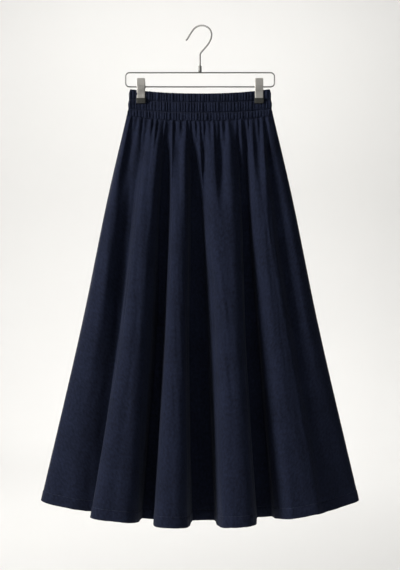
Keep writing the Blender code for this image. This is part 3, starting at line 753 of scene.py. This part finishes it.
def tube(name, path, radius, segments, material, closed=False, radii=None):
    """A round wire along a path, with its frame carried along."""
    path = np.asarray(path, float)
    if closed:
        ahead = np.roll(path, -1, axis=0) - np.roll(path, 1, axis=0)
    else:
        ahead = np.gradient(path, axis=0)
    ahead /= np.linalg.norm(ahead, axis=1, keepdims=True)
    first = np.cross(ahead[0], (0.0, 1.0, 0.0) if abs(ahead[0][1]) < 0.9 else (1.0, 0.0, 0.0))
    sides = [first / np.linalg.norm(first)]
    for direction in ahead[1:]:
        side = sides[-1] - direction * np.dot(sides[-1], direction)
        sides.append(side / np.linalg.norm(side))
    sides = np.array(sides)
    others = np.cross(ahead, sides)
    sizes = np.full(len(path), radius) if radii is None else np.asarray(radii)
    angles = np.linspace(0.0, 2.0 * pi, segments, endpoint=False)
    cosines, sines = np.cos(angles)[None, :, None], np.sin(angles)[None, :, None]
    off = cosines * sides[:, None] + sines * others[:, None]
    points = path[:, None] + sizes[:, None, None] * off
    faces = list(grid_faces(len(path), segments, wrap_rows=closed, wrap_columns=True))
    if not closed:
        faces.append(np.arange(segments))
        faces.append(np.arange(segments)[::-1] + (len(path) - 1) * segments)
    return mesh_object(name, points, faces, material)


def rounded_tip(path, radius):
    """A path with a half-round end, and the radius at each of its points."""
    path = np.asarray(path, float)
    run = run_along(path)
    ends = run[-1] - radius * (1.0 - np.sin(np.linspace(0.0, pi / 2.0, TIP_STEPS)))
    at = np.concatenate((run[run < run[-1] - radius * 1.1], ends))
    left = np.clip((at - (run[-1] - radius)) / radius, 0.0, 1.0)
    return at_lengths(path, run, at), radius * np.sqrt(np.maximum(1.0 - left ** 2, 0.004))


def turned(name, profile, segments, material):
    """A ring turned about Z from a closed outline of radius and height."""
    angles = np.linspace(0.0, 2.0 * pi, segments, endpoint=False)
    profile = np.asarray(profile, float)
    points = np.stack((
        profile[:, :1] * np.cos(angles),
        profile[:, :1] * np.sin(angles),
        np.repeat(profile[:, 1:], segments, axis=1)), axis=-1)
    faces = grid_faces(len(profile), segments, wrap_rows=True, wrap_columns=True)
    return mesh_object(name, points, faces, material, sharp=40.0)


def hanger(wire_steel):
    """The loop of wire, the hook and the ferrule that joins them."""
    corners = (
        (FRAME_HALF_WIDTH, FRAME_TOP, 0.0),
        (-FRAME_HALF_WIDTH, FRAME_TOP, 90.0),
        (-FRAME_HALF_WIDTH, FRAME_BOTTOM, 180.0),
        (FRAME_HALF_WIDTH, FRAME_BOTTOM, 270.0),
    )
    route = []
    for across, height, start in corners:
        centre_x = across - np.sign(across) * FRAME_CORNER
        centre_z = height - FRAME_CORNER if height == FRAME_TOP else height + FRAME_CORNER
        for angle in np.radians(start + np.linspace(0.0, 90.0, 15)):
            off_x, off_z = FRAME_CORNER * cos(angle), FRAME_CORNER * sin(angle)
            route.append((centre_x + off_x, 0.0, centre_z + off_z))
    loop = tube("hanger_frame_wire", route, WIRE / 2.0, 16, wire_steel, closed=True)

    plan = np.array(HOOK_ROUTE)
    run = run_along(plan)
    line = smooth(run, plan, np.linspace(0.0, run[-1], 150))
    path = [(a * cos(HOOK_TURN), a * sin(HOOK_TURN), height) for a, height in line]
    path, radii = rounded_tip(path, HOOK_WIRE / 2.0)
    hook = tube("hanger_hook_wire", path, HOOK_WIRE / 2.0, 16, wire_steel, radii=radii)

    bore, outside, top, bottom = HOOK_WIRE / 2.0 + 0.1, FERRULE_RADIUS, FERRULE_TOP, FERRULE_BOTTOM
    profile = (
        (bore, top), (outside - 1.1, top), (outside - 0.3, top - 0.4), (outside, top - 1.2),
        (outside, top - 2.6), (outside - 0.35, top - 3.1), (outside - 0.35, top - 3.7),
        (outside, top - 4.2), (outside, bottom + 1.0), (outside - 0.5, bottom + 0.2),
        (outside - 1.1, bottom), (bore, bottom),
    )
    ferrule = turned("hanger_ferrule_sleeve", profile, 40, wire_steel)
    for piece, part in ((loop, "frame"), (hook, "hook"), (ferrule, "ferrule")):
        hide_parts(f"hanger_{part}")
        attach(piece, "root")


def clip_plate(name, across, side, inset, splay, material):
    """A pressed steel plate whose edges are turned towards the wire, deepest at the ears."""
    profile = np.array(CLIP_PROFILE)
    run = run_along(profile[:, :2])
    reach, height, depth = smooth(run, profile, np.linspace(0.0, run[-1], 60)).T
    half = CLIP_WIDTH / 2.0 - inset
    corner = CLIP_CORNER
    turn = np.radians(np.linspace(0.0, 90.0, 6))[1:]
    rows = []
    for y, z, flange in zip(reach, height, depth):
        narrow = CLIP_TIP_NARROWING * max(0.0, 1.0 - (height[0] - z) / CLIP_TIP_HEIGHT) ** 2
        flat = half - corner - narrow
        right = [(flat * share, 0.0) for share in np.linspace(0.0, 1.0, 6)]
        right += [(flat + corner * sin(angle), corner * (1.0 - cos(angle))) for angle in turn]
        for share in np.linspace(0.0, 1.0, 5)[1:]:
            deep = max(flange - corner, 0.05) * share
            right.append((flat + corner + splay * deep, corner + deep))
        right = np.array(right)
        left = right[:0:-1] * np.array([-1.0, 1.0])
        section = np.concatenate((left, right))
        rows.append([(across + out, side * (y - deep), z) for out, deep in section])
    points = np.array(rows)
    faces = grid_faces(*points.shape[:2], flip=side > 0)
    plate = mesh_object(name, points, faces, material)
    sheet = plate.modifiers.new("sheet", "SOLIDIFY")
    sheet.thickness = CLIP_SHEET * MM
    sheet.offset = -1.0
    edges = plate.modifiers.new("edges", "BEVEL")
    edges.width = 0.2 * MM
    edges.segments = 2
    edges.limit_method = "ANGLE"
    edges.angle_limit = radians(60.0)
    return plate


def clip_boot(name, across, side, material):
    """A moulded rubber boot: a rounded block with a lip round its mouth."""
    half = BOOT_WIDTH / 2.0
    centre = (BOOT_INNER + BOOT_OUTER) / 2.0
    depth = (BOOT_OUTER - BOOT_INNER) / 2.0
    rows = []
    angles = np.linspace(0.0, 2.0 * pi, BOOT_POINTS, endpoint=False)
    c, s = np.cos(angles), np.sin(angles)
    for drop, wide, deep in BOOT_LEVELS:
        x = half * wide * np.sign(c) * np.abs(c) ** 0.28
        y = depth * deep * np.sign(s) * np.abs(s) ** 0.45
        height = np.full(BOOT_POINTS, BOOT_TOP + drop)
        rows.append(np.stack((across + x, side * (centre + y), height), axis=1))
    points = np.array(rows)
    faces = list(grid_faces(*points.shape[:2], wrap_columns=True, flip=side < 0))
    end = np.arange(BOOT_POINTS)
    last = end + (len(BOOT_LEVELS) - 1) * BOOT_POINTS
    faces += [end[::-1], last] if side > 0 else [end, last[::-1]]
    return mesh_object(name, points, faces, material, sharp=50.0)


def clip_spring(name, across, material):
    """A coil round the lower wire, whose two ends press the plates apart above it."""
    width = CLIP_WIDTH - 2.0 * (2.0 * CLIP_SHEET + SPRING_CLEARANCE)
    turns = np.linspace(0.0, SPRING_TURNS, SPRING_TURNS * 20)
    angle = 2.0 * pi * turns + pi
    coil = np.stack((
        across - width / 2.0 + width * turns / SPRING_TURNS,
        SPRING_RADIUS * np.cos(angle),
        FRAME_BOTTOM + SPRING_RADIUS * np.sin(angle)), axis=1)
    first = [(coil[0, 0], -reach, FRAME_BOTTOM + height) for reach, height in SPRING_LEG]
    last = [(coil[-1, 0], reach, FRAME_BOTTOM + height) for reach, height in SPRING_LEG[::-1]]
    return tube(name, np.concatenate((first, coil, last)), SPRING_WIRE / 2.0, 8, material)


def clips(satin, rubber):
    """Both clips, each with two plates, two boots and a spring."""
    plates = (("front", FRONT, 0.0, CLIP_SPLAY), ("back", BACK, CLIP_INSET, 0.0))
    for clip, across in (("clip_left", -CLIP_PLACE), ("clip_right", CLIP_PLACE)):
        made = {}
        for face, side, inset, splay in plates:
            plate = clip_plate(f"{clip}_pressed_{face}", across, side, inset, splay, satin)
            made[f"plate_{face}"] = plate
            made[f"boot_{face}"] = clip_boot(f"{clip}_rubber_{face}", across, side, rubber)
        made["spring"] = clip_spring(f"{clip}_coil", across, satin)
        for part, piece in made.items():
            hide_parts(f"{clip}_{part}")
            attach(piece, "root")


class Nodes:
    """Short ways to add and join a material's nodes."""

    def __init__(self, name):
        self.material = bpy.data.materials.new(name)
        self.material.use_nodes = True
        self.tree = self.material.node_tree
        self.shader = self.tree.nodes["Principled BSDF"]

    def put(self, value, socket):
        """Link or constant for a socket, whichever the value is."""
        if isinstance(value, bpy.types.NodeSocket):
            self.tree.links.new(value, socket)
        else:
            socket.default_value = value

    def add(self, kind, inputs=None, settings=None):
        node = self.tree.nodes.new(kind)
        for key, value in (settings or {}).items():
            setattr(node, key, value)
        for key, value in (inputs or {}).items():
            self.put(value, node.inputs[key])
        return node

    def math(self, operation, first, second=0.0):
        inputs = {0: first, 1: second}
        return self.add("ShaderNodeMath", inputs, {"operation": operation}).outputs[0]

    def ramp(self, value, low, high):
        """The value moved from one range to another, each end given as before and after."""
        limits = {"From Min": low[0], "From Max": high[0], "To Min": low[1], "To Max": high[1]}
        return self.add("ShaderNodeMapRange", {"Value": value, **limits}).outputs[0]

    def mix(self, share, first, second):
        inputs = {0: share, 6: (*first, 1.0), 7: (*second, 1.0)}
        return self.add("ShaderNodeMix", inputs, {"data_type": "RGBA"}).outputs[2]

    def noise(self, vector, scale, detail):
        inputs = {"Vector": vector, "Scale": scale, "Detail": detail}
        return self.add("ShaderNodeTexNoise", inputs).outputs[0]

    def bump(self, height, strength, distance, under=None):
        inputs = {"Height": height, "Strength": strength, "Distance": distance}
        if under is not None:
            inputs["Normal"] = under
        return self.add("ShaderNodeBump", inputs).outputs[0]

    def stretched(self, vector, scale):
        return self.add("ShaderNodeMapping", {"Vector": vector, "Scale": scale}).outputs[0]

    def place(self):
        return self.add("ShaderNodeTexCoord").outputs["Object"]

    def join(self, value, name):
        """Sets one of the shader's own inputs."""
        self.put(value, self.shader.inputs[name])


def cloth_material():
    """Matte navy cloth: a fine weave with slubs, a slight nap and cloudy dye."""
    nodes = Nodes("navy_weave")
    uv = nodes.add("ShaderNodeUVMap", settings={"uv_map": "cloth"}).outputs[0]
    split = nodes.add("ShaderNodeSeparateXYZ", {"Vector": uv})
    pitch = 2.0 * pi / WEAVE_PITCH
    warp = nodes.math("SINE", nodes.math("MULTIPLY", split.outputs[0], pitch))
    weft = nodes.math("SINE", nodes.math("MULTIPLY", split.outputs[1], pitch))
    weave = nodes.math("MULTIPLY", warp, weft)
    slub = nodes.noise(nodes.stretched(uv, (1400.0, 130.0, 1.0)), 1.0, 2.0)
    slub_across = nodes.noise(nodes.stretched(uv, (130.0, 1400.0, 1.0)), 1.0, 2.0)
    threads = nodes.math("ADD", slub, slub_across)
    cloud = nodes.noise(uv, 14.0, 4.0)
    nap = nodes.noise(uv, 520.0, 3.0)
    heather = nodes.noise(nodes.stretched(uv, (190.0, 130.0, 1.0)), 1.0, 4.0)
    shade = nodes.math("MULTIPLY", cloud, 0.35)
    for layer, weight in ((threads, 0.25), (nap, 0.25), (heather, 0.8)):
        shade = nodes.math("ADD", shade, nodes.math("MULTIPLY", layer, weight))
    share = nodes.ramp(shade, (0.68, 0.0), (1.22, 1.0))
    colour = nodes.mix(share, (0.0027, 0.0040, 0.0104), (0.0127, 0.0174, 0.0400))
    nodes.join(colour, "Base Color")
    nodes.join(nodes.ramp(nap, (0.3, 0.84), (0.7, 0.97)), "Roughness")
    nodes.join(0.12, "Specular IOR Level")
    nodes.join(0.04, "Sheen Weight")
    nodes.join(0.45, "Sheen Roughness")
    nodes.join((0.72, 0.80, 1.0, 1.0), "Sheen Tint")
    fine = nodes.bump(weave, 0.35, 0.00012)
    grain = nodes.bump(threads, 0.5, 0.0004, fine)
    nodes.join(nodes.bump(nap, 0.35, 0.0006, grain), "Normal")
    return nodes.material


def thread_material():
    """Twisted navy thread, a little lighter than the cloth."""
    nodes = Nodes("navy_thread")
    place = nodes.place()
    twist = nodes.noise(place, 3000.0, 2.0)
    colour = nodes.mix(twist, (0.009, 0.012, 0.024), (0.021, 0.028, 0.049))
    nodes.join(colour, "Base Color")
    nodes.join(0.6, "Roughness")
    nodes.join(nodes.bump(twist, 0.5, 0.0001), "Normal")
    return nodes.material


def steel_material(name, dark, light, roughness, grain):
    """Steel with a drawn or brushed grain and faint smudges."""
    nodes = Nodes(name)
    place = nodes.place()
    smudge = nodes.noise(place, 90.0, 4.0)
    lines = nodes.noise(nodes.stretched(place, grain), 1.0, 2.0)
    share = nodes.math("MULTIPLY", nodes.math("ADD", smudge, lines), 0.5)
    nodes.join(nodes.mix(share, dark, light), "Base Color")
    nodes.join(1.0, "Metallic")
    nodes.join(nodes.ramp(smudge, (0.3, roughness - 0.05), (0.7, roughness + 0.09)), "Roughness")
    nodes.join(nodes.bump(lines, 0.12, 0.0001), "Normal")
    return nodes.material


def rubber_material():
    """Black rubber with dust on it."""
    nodes = Nodes("boot_rubber")
    place = nodes.place()
    dust = nodes.noise(place, 260.0, 4.0)
    grain = nodes.noise(place, 1500.0, 2.0)
    nodes.join(nodes.mix(dust, (0.009, 0.010, 0.008), (0.026, 0.026, 0.022)), "Base Color")
    nodes.join(nodes.ramp(dust, (0.3, 0.55), (0.7, 0.75)), "Roughness")
    nodes.join(nodes.bump(grain, 0.3, 0.0002), "Normal")
    return nodes.material


def studio():
    """A pale floor that curves up into walls behind the skirt and behind the camera."""
    nodes = Nodes("pale_paper")
    place = nodes.place()
    tone = nodes.noise(place, 1.2, 2.0)
    nodes.join(nodes.mix(tone, (0.735, 0.731, 0.722), (0.765, 0.761, 0.752)), "Base Color")
    nodes.join(0.9, "Roughness")
    nodes.join(0.1, "Specular IOR Level")
    floor, wall, bend, half = -1500.0, 4200.0, 1500.0, 7000.0
    front = -7500.0
    line = [(front, 3500.0), (front, -500.0), (-7200.0, -1200.0), (-6500.0, floor), (0.0, floor)]
    for angle in np.radians(np.linspace(0.0, 90.0, 16)):
        line.append((wall - bend + bend * sin(angle), floor + bend - bend * cos(angle)))
    line += [(wall, 1500.0), (wall, 4000.0)]
    line = np.array(line)
    across = np.linspace(-half, half, 9)
    points = np.stack((
        np.tile(across, (len(line), 1)),
        np.repeat(line[:, :1], len(across), axis=1),
        np.repeat(line[:, 1:], len(across), axis=1)), axis=-1)
    sweep = mesh_object("studio_sweep", points, grid_faces(*points.shape[:2]), nodes.material)


def soft_light(name, at, to, size, power, colour, spread):
    """An area light at one place, turned to another, whose spread is in degrees."""
    data = bpy.data.lights.new(name, "AREA")
    data.shape = "RECTANGLE"
    data.size, data.size_y = size
    data.energy = power
    data.color = colour
    data.spread = radians(spread)
    lamp = bpy.data.objects.new(name, data)
    lamp.location = at
    lamp.visible_camera = False
    lamp.rotation_euler = (Vector(to) - Vector(at)).to_track_quat("-Z", "Y").to_euler()
    bpy.context.scene.collection.objects.link(lamp)


def lights_and_camera():
    """Faint air, the lights and the camera of the photograph, level with the skirt's middle."""
    world = bpy.data.worlds.new("studio_air")
    world.use_nodes = True
    air = world.node_tree.nodes["Background"]
    air.inputs[0].default_value = (0.94, 0.97, 1.0, 1.0)
    air.inputs[1].default_value = 0.03
    bpy.context.scene.world = world
    for light in LIGHTS:
        soft_light(*light)
    data = bpy.data.cameras.new("camera")
    data.lens = LENS
    data.sensor_width = 36.0
    data.clip_end = 40.0
    camera = bpy.data.objects.new("camera", data)
    camera.location = CAMERA
    camera.rotation_euler = (pi / 2.0, 0.0, 0.0)
    bpy.context.scene.collection.objects.link(camera)
    bpy.context.scene.camera = camera
    bpy.context.scene.view_settings.view_transform = "Standard"


def skirt(cloth, thread):
    """The two panels and the band, with their stitches, and what each stands for."""
    front = Panel(FRONT_FOLDS, FRONT_GATHERS, FRONT_LOW_GATHERS, FRONT_LONG_GATHERS,
                  FRONT_CREASES, FRONT, FRONT_SEED)
    back = Panel(BACK_FOLDS, BACK_GATHERS, BACK_LOW_GATHERS, BACK_LONG_GATHERS,
                 BACK_CREASES, BACK, BACK_SEED)
    band = Band()
    ring = waistband("waistband_shirred", band, cloth)
    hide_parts("waistband_front", "waistband_back")
    pieces = [ring]
    for word, panel in (("front", front), ("back", back)):
        name = f"{word}_cloth"
        shell = panel_cloth(name, panel, cloth)
        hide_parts(f"{word}_panel")
        columns = np.linspace(0.002, 0.998, 1600)
        share = 1.0 - HEM_DEPTH / CUT_LENGTH_MIDDLE
        points, normals = panel.surface(columns, np.array([share - 0.001, share, share + 0.001]))
        row = stitches(f"{name}_hem_stitches", points[1], normals[1], thread)
        pieces += [shell, row]
    rows = []
    for name, level in (("upper", 2), ("lower", 4)):
        share = band.shares[level]
        for half, side in ((0, FRONT), (1, BACK)):
            along = np.linspace(-0.985, 0.985, 900)
            path = band.outline(along, half, share)
            normals = np.tile((0.0, side, 0.0), (len(path), 1))
            rows.append(stitches(f"band_stitches_{name}_{half}", path, normals, thread))
    pieces += rows
    for piece in pieces:
        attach(piece, "root")


def main():
    cloth, thread = cloth_material(), thread_material()
    wire_steel = steel_material(
        "drawn_steel", (0.17, 0.17, 0.165), (0.27, 0.27, 0.26), 0.5, (900.0, 900.0, 40.0))
    satin = steel_material(
        "satin_steel", (0.42, 0.41, 0.39), (0.60, 0.58, 0.55), 0.52, (60.0, 60.0, 2200.0))
    clips(satin, rubber_material())
    skirt(cloth, thread)
    hanger(wire_steel)
    studio()
    lights_and_camera()


main()
